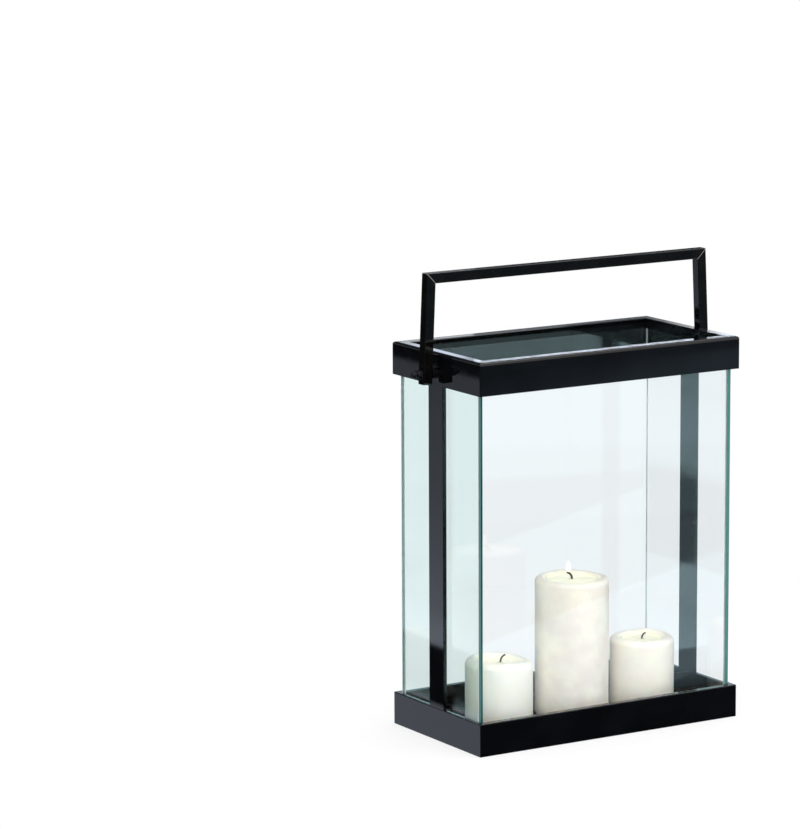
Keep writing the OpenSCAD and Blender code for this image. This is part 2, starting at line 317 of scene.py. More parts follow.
@dataclass(frozen=True)
class FloatGlass:
    """Clear float glass, bonded into a box.

    The large faces are clear with a trace of blue green. The open end of each pane is ground, and gathers
    the iron tint of the whole pane's length, so it looks teal from outside and pale through the pane. The
    other end is glued to a neighbour: a strip of pale glue at the box's outside, and the bond's own tone
    further in. Light from the lamps passes the large faces unbent, as the shadow of clear glass is nearly
    none. The numbers called ground and glued are the roughness of the two ends.
    """

    name: str
    axis: PaneAxis
    open_end: Triple
    tint: str
    bond: str
    outer: float
    edge: str = "#578f8a"
    edge_core: str = "#286662"
    edge_mm: float = 1.5
    ground: float = 0.3
    ground_clear: float = 0.2
    within: str = "#e4eeec"
    glue: str = "#f4f7f7"
    glued: float = 0.5
    glued_clear: float = 0.3
    strip_mm: float = 1.6
    blur_mm: float = 0.4
    shadow: str = "#fafbfb"

    def build(self) -> Material:
        """Builds the glass of one pane.

        Returns:
            The finished material.
        """
        material, tree = new_material("float_glass_" + self.name)
        clear = add_node(tree, "ShaderNodeBsdfPrincipled", {},
                         {"Base Color": linear(self.tint), "Roughness": 0.0, "IOR": GLASS_IOR,
                          "Transmission Weight": 1.0}).outputs[0]
        iron = add_node(tree, "ShaderNodeMix", {"data_type": "RGBA"},
                        {0: spots(tree, self.edge_mm, 4.0), 6: linear(self.edge_core),
                         7: linear(self.edge)}).outputs[2]
        surface = add_node(tree, "ShaderNodeNewGeometry")
        end_tone = add_node(tree, "ShaderNodeMix", {"data_type": "RGBA"},
                            {0: surface.outputs["Backfacing"], 6: iron, 7: linear(self.within)}).outputs[2]
        ground = add_node(tree, "ShaderNodeBsdfPrincipled", {},
                          {"Base Color": end_tone, "Roughness": self.ground, "IOR": GLASS_IOR,
                           "Transmission Weight": self.ground_clear}).outputs[0]
        place = add_node(tree, "ShaderNodeTexCoord").outputs["Object"]
        spread = add_node(tree, "ShaderNodeVectorMath", {"operation": "ABSOLUTE"}, {0: place}).outputs[0]
        into = add_node(tree, "ShaderNodeSeparateXYZ", {}, {0: spread}).outputs[self.axis.value]
        strip = self.outer - self.strip_mm * MM
        in_strip = add_node(tree, "ShaderNodeMapRange", {},
                            {0: into, 1: strip - self.blur_mm * MM, 2: strip}).outputs[0]
        glue_tone = add_node(tree, "ShaderNodeMix", {"data_type": "RGBA"},
                             {0: in_strip, 6: linear(self.bond), 7: linear(self.glue)}).outputs[2]
        bonded = add_node(tree, "ShaderNodeBsdfPrincipled", {},
                          {"Base Color": glue_tone, "Roughness": self.glued, "IOR": GLASS_IOR,
                           "Transmission Weight": self.glued_clear}).outputs[0]
        normal = surface.outputs["True Normal"]
        across = add_node(tree, "ShaderNodeSeparateXYZ", {}, {0: normal}).outputs[self.axis.value]
        facing = add_node(tree, "ShaderNodeMath", {"operation": "ABSOLUTE"}, {0: across}).outputs[0]
        is_face = add_node(tree, "ShaderNodeMath", {"operation": "GREATER_THAN"},
                           {0: facing, 1: SQUARE}).outputs[0]
        outward = add_node(tree, "ShaderNodeVectorMath", {"operation": "DOT_PRODUCT"},
                           {0: normal, 1: self.open_end}).outputs["Value"]
        is_open = add_node(tree, "ShaderNodeMath", {"operation": "GREATER_THAN"},
                           {0: outward, 1: TOWARD}).outputs[0]
        ends = add_node(tree, "ShaderNodeMixShader", {}, {0: is_open, 1: bonded, 2: ground}).outputs[0]
        pane = add_node(tree, "ShaderNodeMixShader", {}, {0: is_face, 1: ends, 2: clear}).outputs[0]
        through = add_node(tree, "ShaderNodeBsdfTransparent", {}, {"Color": linear(self.shadow)}).outputs[0]
        is_shadow = add_node(tree, "ShaderNodeLightPath").outputs["Is Shadow Ray"]
        in_shadow = add_node(tree, "ShaderNodeMath", {"operation": "MULTIPLY"},
                             {0: is_shadow, 1: is_face}).outputs[0]
        shown = add_node(tree, "ShaderNodeMixShader", {}, {0: in_shadow, 1: pane, 2: through}).outputs[0]
        return surfaced(material, shown)


@dataclass(frozen=True)
class ParaffinWax:
    """Ivory paraffin wax: waxy sheen over light that scatters some millimetres deep.

    The melt pool is smoother and yellower than the sides, and soot darkens it round the wick. Its pale
    yellow is partly painted light against the rim's shade, and it has a painted glow: it emits its own
    colour, standing in for the flame's light and brightening the wax, on unlit candles too.
    """

    name: str
    centre: Pair
    rim_z: float
    pool_r: float
    side: str
    # Strength of the pool's painted glow.
    glow: float
    mottle: str = "#f8f3e5"
    mottle_mm: float = 22.0
    # Melt pool colour: partly painted light, made pale to offset the rim's shade.
    pool: str = "#fff8dc"
    pool_inner: float = 0.82
    pool_low_mm: Pair = (9.0, 6.0)
    soot: str = "#b9a676"
    soot_mm: Pair = (1.2, 4.5)
    sooted: float = 0.7
    side_roughness: float = 0.42
    pool_roughness: float = 0.16
    skin_mm: float = 3.5
    skin_depth_mm: float = 0.05
    scattered: float = 0.6
    scatter: Triple = (1.0, 0.75, 0.45)
    scatter_mm: float = 6.0

    def build(self) -> Material:
        """Builds the wax of one candle.

        Returns:
            The finished material.
        """
        material, tree = new_material(self.name)
        place = add_node(tree, "ShaderNodeTexCoord").outputs["Object"]
        local = add_node(tree, "ShaderNodeVectorMath", {"operation": "SUBTRACT"},
                         {0: place, 1: (*self.centre, self.rim_z)}).outputs[0]
        level = add_node(tree, "ShaderNodeVectorMath", {"operation": "MULTIPLY"},
                         {0: local, 1: (1.0, 1.0, 0.0)}).outputs[0]
        reach = add_node(tree, "ShaderNodeVectorMath", {"operation": "LENGTH"}, {0: level}).outputs["Value"]
        height = add_node(tree, "ShaderNodeSeparateXYZ", {}, {0: local}).outputs[2]
        low, high = (-depth * MM for depth in self.pool_low_mm)
        near_top = add_node(tree, "ShaderNodeMapRange", {}, {0: height, 1: low, 2: high}).outputs[0]
        inside = add_node(tree, "ShaderNodeMapRange", {},
                          {0: reach, 1: self.pool_r, 2: self.pool_r * self.pool_inner}).outputs[0]
        in_pool = add_node(tree, "ShaderNodeMath", {"operation": "MULTIPLY"},
                           {0: inside, 1: near_top}).outputs[0]
        mottled = blotches(tree, self.mottle_mm, 4.0, (0.35, 0.7))
        side = add_node(tree, "ShaderNodeMix", {"data_type": "RGBA"},
                        {0: mottled, 6: linear(self.side), 7: linear(self.mottle)}).outputs[2]
        clean = add_node(tree, "ShaderNodeMix", {"data_type": "RGBA"},
                         {0: in_pool, 6: side, 7: linear(self.pool)}).outputs[2]
        near_wick = add_node(tree, "ShaderNodeMapRange", {},
                             {0: reach, 1: self.soot_mm[0] * MM, 2: self.soot_mm[1] * MM,
                              3: self.sooted, 4: 0.0}).outputs[0]
        sooty = add_node(tree, "ShaderNodeMath", {"operation": "MULTIPLY"},
                         {0: near_wick, 1: near_top}).outputs[0]
        colour = add_node(tree, "ShaderNodeMix", {"data_type": "RGBA"},
                          {0: sooty, 6: clean, 7: linear(self.soot)}).outputs[2]
        rough = add_node(tree, "ShaderNodeMapRange", {},
                         {0: in_pool, 3: self.side_roughness, 4: self.pool_roughness}).outputs[0]
        # Painted glow: the pool emits its own colour, standing in for the flame's light.
        light = add_node(tree, "ShaderNodeMapRange", {}, {0: in_pool, 3: 0.0, 4: self.glow}).outputs[0]
        wax = add_node(tree, "ShaderNodeBsdfPrincipled", {"subsurface_method": "RANDOM_WALK"},
                       {"Base Color": colour, "Roughness": rough, "IOR": WAX_IOR,
                        "Subsurface Weight": self.scattered, "Subsurface Radius": self.scatter,
                        "Subsurface Scale": self.scatter_mm * MM,
                        "Emission Color": linear(self.pool), "Emission Strength": light,
                        "Normal": relief(tree, self.skin_mm, 3.0, self.skin_depth_mm)}).outputs[0]
        return surfaced(material, wax)


@dataclass(frozen=True)
class CharredCotton:
    """Braided cotton wick, burnt: sooty black with brown threads where it leaves the wax."""

    name: str = "charred_cotton_wick"
    soot: str = "#0b0908"
    thread: str = "#2a2019"
    thread_mm: float = 0.9
    fibre_mm: float = 0.25
    fibre_depth_mm: float = 0.05
    roughness: float = 0.85
    sheen: float = 0.2

    def build(self) -> Material:
        """Builds the cotton.

        Returns:
            The finished material.
        """
        material, tree = new_material(self.name)
        threads = blotches(tree, self.thread_mm, 4.0, (0.45, 0.75))
        colour = add_node(tree, "ShaderNodeMix", {"data_type": "RGBA"},
                          {0: threads, 6: linear(self.soot), 7: linear(self.thread)}).outputs[2]
        cotton = add_node(tree, "ShaderNodeBsdfPrincipled", {},
                          {"Base Color": colour, "Roughness": self.roughness, "Sheen Weight": self.sheen,
                           "Normal": relief(tree, self.fibre_mm, 3.0, self.fibre_depth_mm)}).outputs[0]
        return surfaced(material, cotton)


@dataclass(frozen=True)
class CandleFlame:
    """The flame's glow: a thin bright veil, fullest in the middle and clear at its rim."""

    name: str = "candle_flame"
    colour: str = "#fffaf0"
    strength: float = 1.6
    bend: float = 0.35
    clearness: Pair = (0.25, 1.0)

    def build(self) -> Material:
        """Builds the flame.

        Returns:
            The finished material.
        """
        material, tree = new_material(self.name)
        glow = add_node(tree, "ShaderNodeEmission", {},
                        {"Color": linear(self.colour), "Strength": self.strength}).outputs[0]
        clear = add_node(tree, "ShaderNodeBsdfTransparent").outputs[0]
        rim = add_node(tree, "ShaderNodeLayerWeight", {}, {"Blend": self.bend}).outputs["Facing"]
        veil = add_node(tree, "ShaderNodeMapRange", {},
                        {0: rim, 1: 0.15, 2: 0.95, 3: self.clearness[0], 4: self.clearness[1]}).outputs[0]
        shown = add_node(tree, "ShaderNodeMixShader", {}, {0: veil, 1: glow, 2: clear}).outputs[0]
        return surfaced(material, shown)


def mesh_piece(name: str, vertices: Sequence[Vector], faces: Sequence[Sequence[int]], smooth: bool = True
               ) -> Object:
    """Makes a mesh object at the origin.

    Args:
        name: The object's name.
        vertices: Points in metres, in the shared frame.
        faces: Corner numbers of each face.
        smooth: Whether faces are smooth shaded.

    Returns:
        The new object.
    """
    mesh = bpy.data.meshes.new(name)
    mesh.from_pydata([tuple(v) for v in vertices], [], [tuple(f) for f in faces])
    shape = bmesh.new()
    shape.from_mesh(mesh)
    bmesh.ops.remove_doubles(shape, verts=shape.verts, dist=0.001 * MM)
    bmesh.ops.recalc_face_normals(shape, faces=shape.faces)
    shape.to_mesh(mesh)
    shape.free()
    mesh.polygons.foreach_set("use_smooth", [smooth] * len(mesh.polygons))
    piece = bpy.data.objects.new(name, mesh)
    bpy.context.scene.collection.objects.link(piece)
    return piece


def sheet(name: str, low: Triple, high: Triple) -> Object:
    """Makes a flat face between two opposite corners: level if their heights agree, else upright."""
    corners = [Vector(low), Vector((high[0], *low[1:])), Vector(high), Vector((low[0], *high[1:]))]
    return mesh_piece(name, corners, [(0, 1, 2, 3)], smooth=False)


def lathe(name: str, centre: Vector, rings: Sequence[Ring], sides: int) -> Object:
    """Turns a profile round a vertical axis, where each ring may change with the angle.

    Args:
        name: The object's name.
        centre: Point of the axis at height 0, in metres.
        rings: The profile, from end to end.
        sides: Steps round the axis.

    Returns:
        The closed turned piece.
    """
    vertices: list[Vector] = []
    for ring in rings:
        for i in range(sides):
            angle = math.tau * i / sides
            radius, height = ring(angle)
            vertices.append(centre + Vector((radius * math.cos(angle), radius * math.sin(angle), height)))
    faces = [(low + i, low + (i + 1) % sides, low + sides + (i + 1) % sides, low + sides + i)
             for low in range(0, (len(rings) - 1) * sides, sides) for i in range(sides)]
    faces.append(tuple(reversed(range(sides))))
    faces.append(tuple(range((len(rings) - 1) * sides, len(rings) * sides)))
    return mesh_piece(name, vertices, faces)


def dress(item: Object, material: Material) -> None:
    """Gives every face of a piece or node one material.

    Args:
        item: The piece or node.
        material: The material.
    """
    if not item.data.materials:
        item.data.materials.append(material)
    for index in range(len(item.data.materials)):
        item.data.materials[index] = material


@dataclass
class Casing:
    """Tray, bottom plate, struts and rim: folded sheet and flat bar in gloss enamel."""

    nodes: dict[str, Object]
    enamel: GlossEnamel = GlossEnamel()

    def dress(self) -> None:
        """Enamels the casing's parts."""
        material = self.enamel.build()
        for name in ("base_tray", "base_bottom", "strut_left", "strut_right", "top_frame"):
            dress(self.nodes[name], material)
            LOG.info("dressed %s", name)


@dataclass
class GlassBox:
    """The four standing panes; each covers one neighbour's end."""

    nodes: dict[str, Object]
    tint: str = "#fcfeff"
    left_tint: str = "#edfaf8"
    bond: str = "#f4f7f7"
    left_bond: str = "#3f7f7a"

    def dress(self) -> None:
        """Gives each pane glass that knows its own open end."""
        for name, axis, open_end, tint, bond in (
                ("front", PaneAxis.Y, (-1.0, 0.0, 0.0), self.tint, self.bond),
                ("back", PaneAxis.Y, (1.0, 0.0, 0.0), self.tint, self.bond),
                ("left", PaneAxis.X, (0.0, 1.0, 0.0), self.left_tint, self.left_bond),
                ("right", PaneAxis.X, (0.0, -1.0, 0.0), self.tint, self.bond)):
            low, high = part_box("glass_" + name)
            outer = max(abs(low[axis.value]), abs(high[axis.value]))
            dress(self.nodes["glass_" + name], FloatGlass(name, axis, open_end, tint, bond, outer).build())
            LOG.info("dressed glass_%s", name)


@dataclass
class BailHandle:
    """The mitred bail handle and its pivot stacks."""

    nodes: dict[str, Object]
    edge_mm: float = 0.35
    splay: float = math.radians(2.5)
    weld_mm: float = 0.002
    flat: float = math.radians(0.5)
    sharp: float = math.radians(35)

    def softened(self, node: str) -> Object:
        """Copies a node with its sharp edges broken, as a ground mitre is, and lets the copy stand for it.

        Args:
            node: The CAD node's name.

        Returns:
            The new piece, riding on the handle.
        """
        mesh = self.nodes[node].data.copy()
        shape = bmesh.new()
        shape.from_mesh(mesh)
        bmesh.ops.remove_doubles(shape, verts=shape.verts, dist=self.weld_mm * MM)
        bmesh.ops.dissolve_limit(shape, angle_limit=self.flat, verts=shape.verts, edges=shape.edges)
        sharp = [e for e in shape.edges if len(e.link_faces) == 2 and e.calc_face_angle(0) > self.sharp]
        bmesh.ops.bevel(shape, geom=sharp, offset=self.edge_mm * MM, segments=2, profile=0.5, affect="EDGES",
                        clamp_overlap=True)
        shape.to_mesh(mesh)
        shape.free()
        mesh.shade_smooth()
        piece = bpy.data.objects.new(node + "_ground", mesh)
        bpy.context.scene.collection.objects.link(piece)
        flats = piece.modifiers.new("flats", "WEIGHTED_NORMAL")
        flats.mode = "FACE_AREA"
        flats.weight = 100
        piece = baked(piece)
        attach(piece, "handle")
        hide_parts(node)
        return piece

    def build(self) -> None:
        """Makes and dresses the handle, and dresses the fasteners."""
        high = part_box("handle_bar")[1]
        enamel = SatinEnamel((high[0], high[2]), self.splay).build()
        for name in ("handle_bar", "handle_leg_left", "handle_leg_right"):
            dress(self.softened(name), enamel)
            LOG.info("built %s", name)
        oxide = BlackOxide().build()
        for name in ("pivot_bolts", "pivot_spacers", "pivot_washers", "cap_nuts"):
            dress(self.nodes[name], oxide)
            LOG.info("dressed %s", name)


@dataclass
class PillarCandle:
    """A burnt pillar candle with its wick.

    Sizes in millimetres. The crest is the candle's highest ring, between shoulder and melt pool. Turns
    are angles round the axis in radians, and the wick's curl is in degrees. Lobes set how often the wear
    changes round the crest. The flame is offset forward from the wick's tip, so that it stays clear of
    the handle's bar when the lit candle is lifted; its belly is lower for a smaller number.
    """

    name: str
    body: str
    wick_turn: float
    shoulder: float
    wear: float
    seed: float
    pool_depth: float
    wick_rise: float
    side: str = "#fcf6ed"
    slump: float = 0.0
    lit: bool = False
    sides: int = 128
    pool_part: float = 0.95
    wick_r: float = 0.95
    wick_curl: float = 80.0
    slump_turn: float = -0.4
    lobes: float = 0.9
    fine_lobes: float = 2.3
    foot: float = 1.2
    core_r: float = 0.05
    ripple: float = 0.12
    floor_part: float = 0.72
    wick_set: float = 2.0
    # Strengths of the pool's painted glow, on a lit and on an unlit candle.
    painted_glow_lit: float = 0.22
    painted_glow_unlit: float = 0.13
    flame_height: float = 12.0
    flame_r: float = 2.5
    flame_tip_r: float = 0.03
    flame_belly: float = 0.62
    flame_fullness: float = 0.9
    flame_offset: Triple = (0.5, -1.7, 0.6)

    def __post_init__(self) -> None:
        """Reads the candle's place and size from its node."""
        low, high = (Vector(corner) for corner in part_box("candle_" + self.name))
        self.centre = Vector(((low.x + high.x) / 2, (low.y + high.y) / 2, low.z))
        self.radius = (high.x - low.x) / 2
        self.height = high.z - low.z

    def worn(self, angle: float) -> float:
        """How far the crest has melted down at an angle.

        Args:
            angle: Angle round the axis in radians.

        Returns:
            A drop in metres, never negative.
        """
        place = Vector((math.cos(angle) * self.lobes, math.sin(angle) * self.lobes, self.seed))
        burnt = self.wear * (0.5 + 0.5 * noise.noise(place) + 0.25 * noise.noise(place * self.fine_lobes))
        return (burnt + self.slump * max(0.0, math.cos(angle - self.slump_turn)) ** 1.5) * MM

    def profile(self) -> list[Ring]:
        """The rings from the foot, up the side, over the shoulder and into the pool.

        Returns:
            One function from angle to radius and height for each ring.
        """
        foot = self.foot * MM
        turn = self.shoulder * MM
        crest_r = self.radius - turn
        pool_r = crest_r * self.pool_part
        rings: list[Ring] = [
            lambda a: (self.core_r * MM, 0.0),
            lambda a: (self.radius - foot, 0.0),
            lambda a: (self.radius - foot * 0.3, foot * 0.3),
            lambda a: (self.radius, foot),
        ]
        side_steps = 14
        for step in range(1, side_steps + 1):
            part = step / side_steps
            rings.append(lambda a, p=part: (
                self.radius - self.ripple * MM * (1 + noise.noise(
                    Vector((math.cos(a), math.sin(a), self.seed + 5 * p)))),
                foot + (self.height - turn - foot - self.worn(a)) * p))
        shoulder_steps = 10
        for step in range(1, shoulder_steps + 1):
            bend = math.pi / 2 * step / shoulder_steps
            rings.append(lambda a, b=bend: (crest_r + turn * math.cos(b),
                                            self.height - turn - self.worn(a) + turn * math.sin(b)))
        pool_steps = 14
        for step in range(1, pool_steps + 1):
            part = step / pool_steps
            rings.append(lambda a, p=part: (
                max(self.core_r * MM, crest_r * (1 - p)),
                self.height - self.worn(a) * (1 - p) ** 0.5 - self.dip(crest_r * (1 - p), crest_r, pool_r)))
        return rings

    def dip(self, radius: float, crest_r: float, pool_r: float) -> float:
        """Depth of the melt pool below the crest.

        Args:
            radius: Distance from the axis in metres.
            crest_r: Radius of the crest.
            pool_r: Radius of the pool.

        Returns:
            Depth in metres.
        """
        floor_r = pool_r * self.floor_part
        if radius <= floor_r:
            return self.pool_depth * MM
        part = (crest_r - radius) / (crest_r - floor_r)
        return self.pool_depth * MM * (part * part * (3 - 2 * part))

    def build_body(self) -> None:
        """Builds the wax body."""
        piece = lathe("wax_" + self.name, self.centre, self.profile(), self.sides)
        wax = ParaffinWax("paraffin_wax_" + self.name, (self.centre.x, self.centre.y),
                          self.centre.z + self.height, (self.radius - self.shoulder * MM) * self.pool_part,
                          self.side, self.painted_glow_lit if self.lit else self.painted_glow_unlit)
        dress(piece, wax.build())
        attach(piece, self.body)
        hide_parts("candle_" + self.name)

    def wick_path(self) -> list[Vector]:
        """Points of the wick from the pool up over its curl.

        Returns:
            Points in metres.
        """
        foot = self.centre + Vector((0, 0, self.height - self.pool_depth * MM))
        way = Vector((math.cos(self.wick_turn), math.sin(self.wick_turn), 0))
        bend_r = self.wick_rise * MM
        points = [foot - Vector((0, 0, self.wick_set * MM)), foot]
        steps = 10
        for step in range(1, steps + 1):
            bend = math.radians(self.wick_curl) * step / steps
            points.append(foot + way * bend_r * (1 - math.cos(bend))
                          + Vector((0, 0, bend_r * math.sin(bend))))
        return points

    def build_wick(self, cotton: Material) -> None:
        """Builds the braided wick.

        Args:
            cotton: The wick's material.
        """
        piece = braided_wick("cotton_wick_" + self.name, self.wick_path(), self.wick_r * MM, cotton)
        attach(piece, self.body)
        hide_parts("wick_" + self.name)

    def build_flame(self) -> None:
        """Builds the small flame over the wick's tip."""
        steps = 18
        rings = []
        for step in range(steps + 1):
            part = step / steps
            bulge = max(0.0, math.sin(math.pi * part ** self.flame_belly)) ** self.flame_fullness
            radius = max(self.flame_r * bulge, self.flame_tip_r) * MM
            rings.append(lambda a, r=radius, z=self.flame_height * MM * part: (r, z))
        piece = lathe("flame_" + self.name, self.wick_path()[-1] + Vector(self.flame_offset) * MM, rings, 24)
        dress(piece, CandleFlame().build())
        piece.visible_shadow = False
        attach(piece, self.body)

    def build(self, cotton: Material) -> None:
        """Builds wax, wick and, on a lit candle, the flame.

        Args:
            cotton: The wick's material.
        """
        self.build_body()
        self.build_wick(cotton)
        LOG.info("built candle %s", self.name)
        if self.lit:
            self.build_flame()
            LOG.info("built flame on %s", self.name)


def baked(piece: Object) -> Object:
    """Puts a mesh object with its modifiers' result in place of the object.

    Args:
        piece: The object; it is removed.

    Returns:
        A plain mesh object of the same name.
    """
    bpy.context.view_layer.update()
    ready = piece.evaluated_get(bpy.context.evaluated_depsgraph_get())
    mesh = bpy.data.meshes.new_from_object(ready)
    name = piece.name
    bpy.data.objects.remove(piece)
    mesh.name = name
    result = bpy.data.objects.new(name, mesh)
    bpy.context.scene.collection.objects.link(result)
    return result


def wick_tree(cotton: Material, samples: int = 48, waist: float = 0.72) -> bpy.types.GeometryNodeTree:
    """Geometry Nodes tree that sweeps a lobed, twisted section along a curve.

    Args:
        cotton: The material set on the result.
        samples: Sections along the curve.
        waist: Inner radius between two strands, as a part of the outer one.

    Returns:
        The tree, with inputs Radius, Strands and Twist.
    """
    tree = bpy.data.node_groups.new("braided_wick", "GeometryNodeTree")
    tree.interface.new_socket("Geometry", in_out="INPUT", socket_type="NodeSocketGeometry")
    for name, kind, value in (("Radius", "NodeSocketFloat", 0.9 * MM), ("Strands", "NodeSocketInt", 5),
                              ("Twist", "NodeSocketFloat", 14.0)):
        tree.interface.new_socket(name, in_out="INPUT", socket_type=kind).default_value = value
    tree.interface.new_socket("Geometry", in_out="OUTPUT", socket_type="NodeSocketGeometry")
    inputs = add_node(tree, "NodeGroupInput")
    fine = add_node(tree, "GeometryNodeResampleCurve", {},
                    {"Curve": inputs.outputs["Geometry"], "Count": samples})
    along = add_node(tree, "GeometryNodeSplineParameter").outputs["Factor"]
    twist = add_node(tree, "ShaderNodeMath", {"operation": "MULTIPLY"},
                     {0: along, 1: inputs.outputs["Twist"]}).outputs[0]
    turned = add_node(tree, "GeometryNodeSetCurveTilt", {}, {"Curve": fine.outputs[0], "Tilt": twist})
    inner = add_node(tree, "ShaderNodeMath", {"operation": "MULTIPLY"},
                     {0: inputs.outputs["Radius"], 1: waist}).outputs[0]
    section = add_node(tree, "GeometryNodeCurveStar", {},
                       {"Points": inputs.outputs["Strands"], "Inner Radius": inner,
                        "Outer Radius": inputs.outputs["Radius"]})
    swept = add_node(tree, "GeometryNodeCurveToMesh", {},
                     {"Curve": turned.outputs[0], "Profile Curve": section.outputs[0], "Fill Caps": True})
    real = add_node(tree, "GeometryNodeRealizeInstances", {}, {0: swept.outputs[0]})
    painted = add_node(tree, "GeometryNodeSetMaterial", {}, {"Geometry": real.outputs[0], "Material": cotton})
    add_node(tree, "NodeGroupOutput", {}, {0: painted.outputs[0]})
    return tree


def braided_wick(name: str, points: Sequence[Vector], radius: float, cotton: Material) -> Object:
    """Sweeps a twisted braid along points.

    Args:
        name: The piece's name.
        points: The wick's middle line in metres.
        radius: The wick's radius in metres.
        cotton: Its material.

    Returns:
        The wick as a plain mesh.
    """
    line = bpy.data.curves.new(name, "CURVE")
    line.dimensions = "3D"
    spline = line.splines.new("POLY")
    spline.points.add(len(points) - 1)
    for point, place in zip(spline.points, points):
        point.co = (*place, 1.0)
    piece = bpy.data.objects.new(name, line)
    bpy.context.scene.collection.objects.link(piece)
    modifier = piece.modifiers.new("braid", "NODES")
    modifier.node_group = wick_tree(cotton)
    for item in modifier.node_group.interface.items_tree:
        if item.item_type == "SOCKET" and item.in_out == "INPUT" and item.name == "Radius":
            modifier[item.identifier] = radius
    wick = baked(piece)
    wick.data.shade_smooth()
    return wick


@dataclass(frozen=True)
class Viewpoint:
    """The camera: place in metres, turn, dip and roll in degrees, lens in millimetres."""

    place: Triple = (-2.248, -3.375, 1.034)
    turn: float = -31.376
    dip: float = 10.174
    roll: float = -0.272
    lens: float = 183.34
    sensor: float = 36.0
    reach: Pair = (0.05, 50.0)

    def build(self) -> None:
        """Makes the scene's camera."""
        turn, dip, roll = (math.radians(v) for v in (self.turn, self.dip, self.roll))
        ahead = Vector((-math.sin(turn) * math.cos(dip), math.cos(turn) * math.cos(dip), -math.sin(dip)))
        level = Vector((math.cos(turn), math.sin(turn), 0))
        above = level.cross(ahead)
        right = level * math.cos(roll) + above * math.sin(roll)
        up = above * math.cos(roll) - level * math.sin(roll)
        data = bpy.data.cameras.new("camera")
        data.lens = self.lens
        data.sensor_width = self.sensor
        data.clip_start, data.clip_end = self.reach
        camera = bpy.data.objects.new("camera", data)
        matrix = Matrix((right, up, -ahead)).transposed().to_4x4()
        matrix.translation = Vector(self.place)
        camera.matrix_world = matrix
        bpy.context.scene.collection.objects.link(camera)
        bpy.context.scene.camera = camera


def unscattered(tree: Tree, path: Node) -> Socket:
    """Gives 1 on a path that has met no matt surface yet, and 0 after one."""
    return add_node(tree, "ShaderNodeMath", {"operation": "LESS_THAN"},
                    {0: path.outputs["Diffuse Depth"], 1: ANY}).outputs[0]


def mirrored(tree: Tree) -> Socket:
    """Tells what the camera sees mirrored, in gloss or in glass, also behind another pane.

    Args:
        tree: The material's tree.

    Returns:
        A socket that is 1 on such a path and 0 elsewhere.
    """
    path = add_node(tree, "ShaderNodeLightPath")
    bounced = add_node(tree, "ShaderNodeMath", {"operation": "GREATER_THAN"},
                       {0: path.outputs["Glossy Depth"], 1: ANY}).outputs[0]
    return add_node(tree, "ShaderNodeMath", {"operation": "MULTIPLY"},
                    {0: bounced, 1: unscattered(tree, path)}).outputs[0]


def behind_glass(tree: Tree) -> Socket:
    """Gives 1 on a path that has been through a pane, and 0 elsewhere."""
    path = add_node(tree, "ShaderNodeLightPath")
    return add_node(tree, "ShaderNodeMath", {"operation": "GREATER_THAN"},
                    {0: path.outputs["Transmission Depth"], 1: ANY}).outputs[0]


def from_lens(tree: Tree) -> Socket:
    """Tells rays from the camera, from gloss and through glass from those of scattered light.

    Args:
        tree: The material's tree.

    Returns:
        A socket that is 1 where the camera sees a thing, directly or in gloss or glass, and 0 elsewhere.
    """
    path = add_node(tree, "ShaderNodeLightPath")
    seen = path.outputs["Is Camera Ray"]
    for ray in ("Is Transmission Ray", "Is Glossy Ray"):
        seen = add_node(tree, "ShaderNodeMath", {"operation": "ADD", "use_clamp": True},
                        {0: seen, 1: path.outputs[ray]}).outputs[0]
    return add_node(tree, "ShaderNodeMath", {"operation": "MULTIPLY"},
                    {0: seen, 1: unscattered(tree, path)}).outputs[0]


def stepped(tree: Tree, value: Socket, stops: Sequence[Pair]) -> Socket:
    """Looks a tone up along a distance.

    Args:
        tree: The card's tree.
        value: The distance's socket, in metres.
        stops: Pairs of distance and tone, nearest first; tones between them are blended.

    Returns:
        The tone's socket.
    """
    reach = stops[-1][0]
    along = add_node(tree, "ShaderNodeMapRange", {}, {0: value, 1: 0.0, 2: reach}).outputs[0]
    table = add_node(tree, "ShaderNodeValToRGB", {}, {0: along})
    points = table.color_ramp.elements
    while len(points) < len(stops):
        points.new(0.5)
    for point, (where, tone) in zip(points, stops):
        point.position = where / reach
        point.color = (tone, tone, tone, 1.0)
    return table.outputs[0]


def past_line(tree: Tree, place: Socket, way: Pair, edge: Pair, near: Socket | float,
              far: Socket | float) -> Socket:
    """Changes from one tone to another across a soft line on the floor.

    Args:
        tree: The card's tree.
        place: Object coordinates.
        way: Direction across the line, whose length scales the edge.
        edge: Start and end of the line's soft edge, in metres along way.
        near: Tone before the line.
        far: Tone past it.

    Returns:
        The tone's socket.
    """
    along = add_node(tree, "ShaderNodeVectorMath", {"operation": "DOT_PRODUCT"},
                     {0: place, 1: (*way, 0.0)}).outputs["Value"]
    past = add_node(tree, "ShaderNodeMapRange", {}, {0: along, 1: edge[0], 2: edge[1]}).outputs[0]
    return add_node(tree, "ShaderNodeMix", {"data_type": "FLOAT"}, {0: past, 2: near, 3: far}).outputs[0]


@dataclass(frozen=True)
class Board:
    """One edge on the floor in front: beyond it, along way, the floor is a board of another tone.

    The edge lies the given metres from the middle, blurred by soft. The tone is seen in gloss, and the
    tone through is seen behind a pane.
    """

    way: Pair
    edge: float
    soft: float
    seen: float
    through: float


@dataclass(frozen=True)
class FarCard:
    """An upright card far behind the object, which its flat tops mirror: its sides in metres and its tone."""

    name: str
    x_low: float
    x_high: float
    z_low: float
    z_high: float
    tone: float


